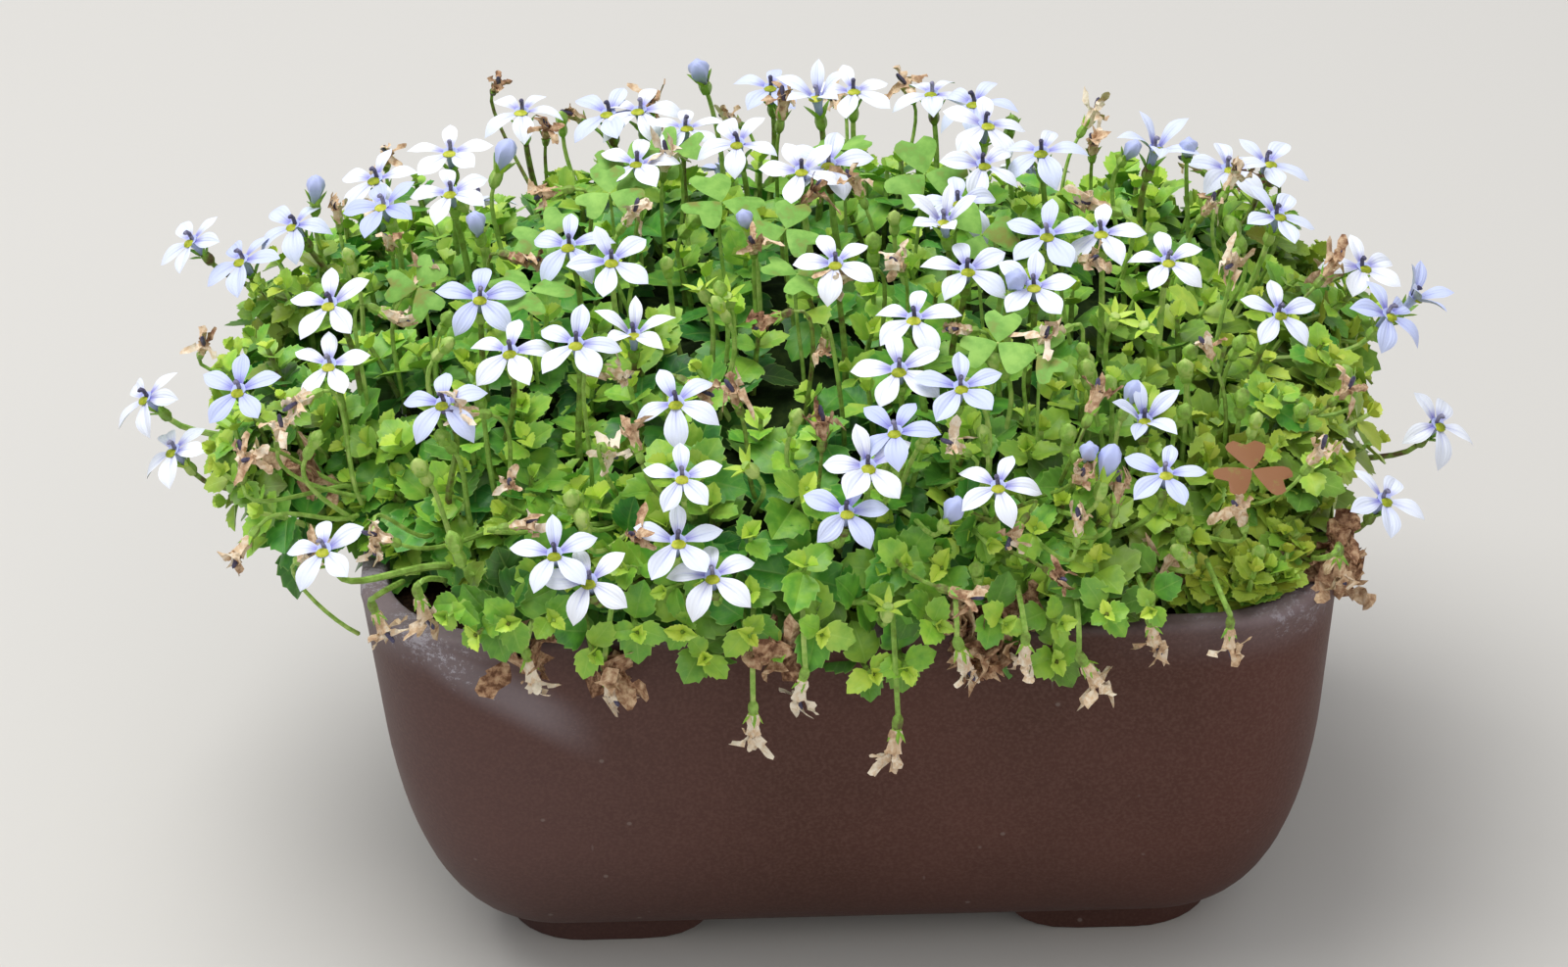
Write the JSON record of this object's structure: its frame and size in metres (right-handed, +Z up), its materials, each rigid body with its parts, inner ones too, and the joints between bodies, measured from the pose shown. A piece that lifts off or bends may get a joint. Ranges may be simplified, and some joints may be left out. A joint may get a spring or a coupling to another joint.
{
  "type": "potted blue star creeper",
  "caption": "Low creeping plant with small toothed leaves and pale blue star-shaped blooms, in a rounded rectangular stoneware pot on low feet.",
  "frame": {"origin": "on the surface that the pot stands on, under the middle of the whole model's box; the pot's own middle is 10.25 mm from it along +X and 1.44 mm along -Y", "axes": "+Z up, +X to the right along the pot's length, the front faces -Y"},
  "size_m": [0.2544, 0.1736, 0.1448],
  "materials": {
    "stoneware": "matte",
    "soil": "matte",
    "foliage": "satin",
    "petal": "matte"
  },
  "bodies": {
    "root": {"pot": "stoneware", "soil": "soil", "leafy_stems_1": "foliage", "leafy_stems_2": "foliage", "leafy_stems_3": "foliage", "leafy_stems_4": "foliage", "leafy_stems_5": "foliage", "leafy_stems_6": "foliage", "leafy_stems_7": "foliage", "leafy_stems_8": "foliage", "bloom_01": "petal", "bloom_02": "petal", "bloom_03": "petal", "bloom_04": "petal", "bloom_05": "petal", "bloom_06": "petal", "bloom_07": "petal", "bloom_08": "petal", "bloom_09": "petal", "bloom_10": "petal", "bloom_11": "petal", "bloom_12": "petal", "bloom_13": "petal", "bloom_14": "petal", "bloom_15": "petal", "bloom_16": "petal", "bloom_17": "petal", "bloom_18": "petal", "bloom_19": "petal", "bloom_20": "petal", "bloom_21": "petal", "bloom_22": "petal", "bloom_23": "petal", "bloom_24": "petal", "bloom_25": "petal", "bloom_26": "petal", "bloom_27": "petal", "bloom_28": "petal", "bloom_29": "petal", "bloom_30": "petal", "bloom_31": "petal", "bloom_32": "petal", "bloom_33": "petal", "bloom_34": "petal", "bloom_35": "petal", "bloom_36": "petal", "bloom_37": "petal", "bloom_38": "petal", "bloom_39": "petal", "bloom_40": "petal", "bloom_41": "petal", "bloom_42": "petal", "bloom_43": "petal", "bloom_44": "petal", "bloom_45": "petal", "bloom_46": "petal", "bloom_47": "petal", "bloom_48": "petal"}
  },
  "joints": []
}
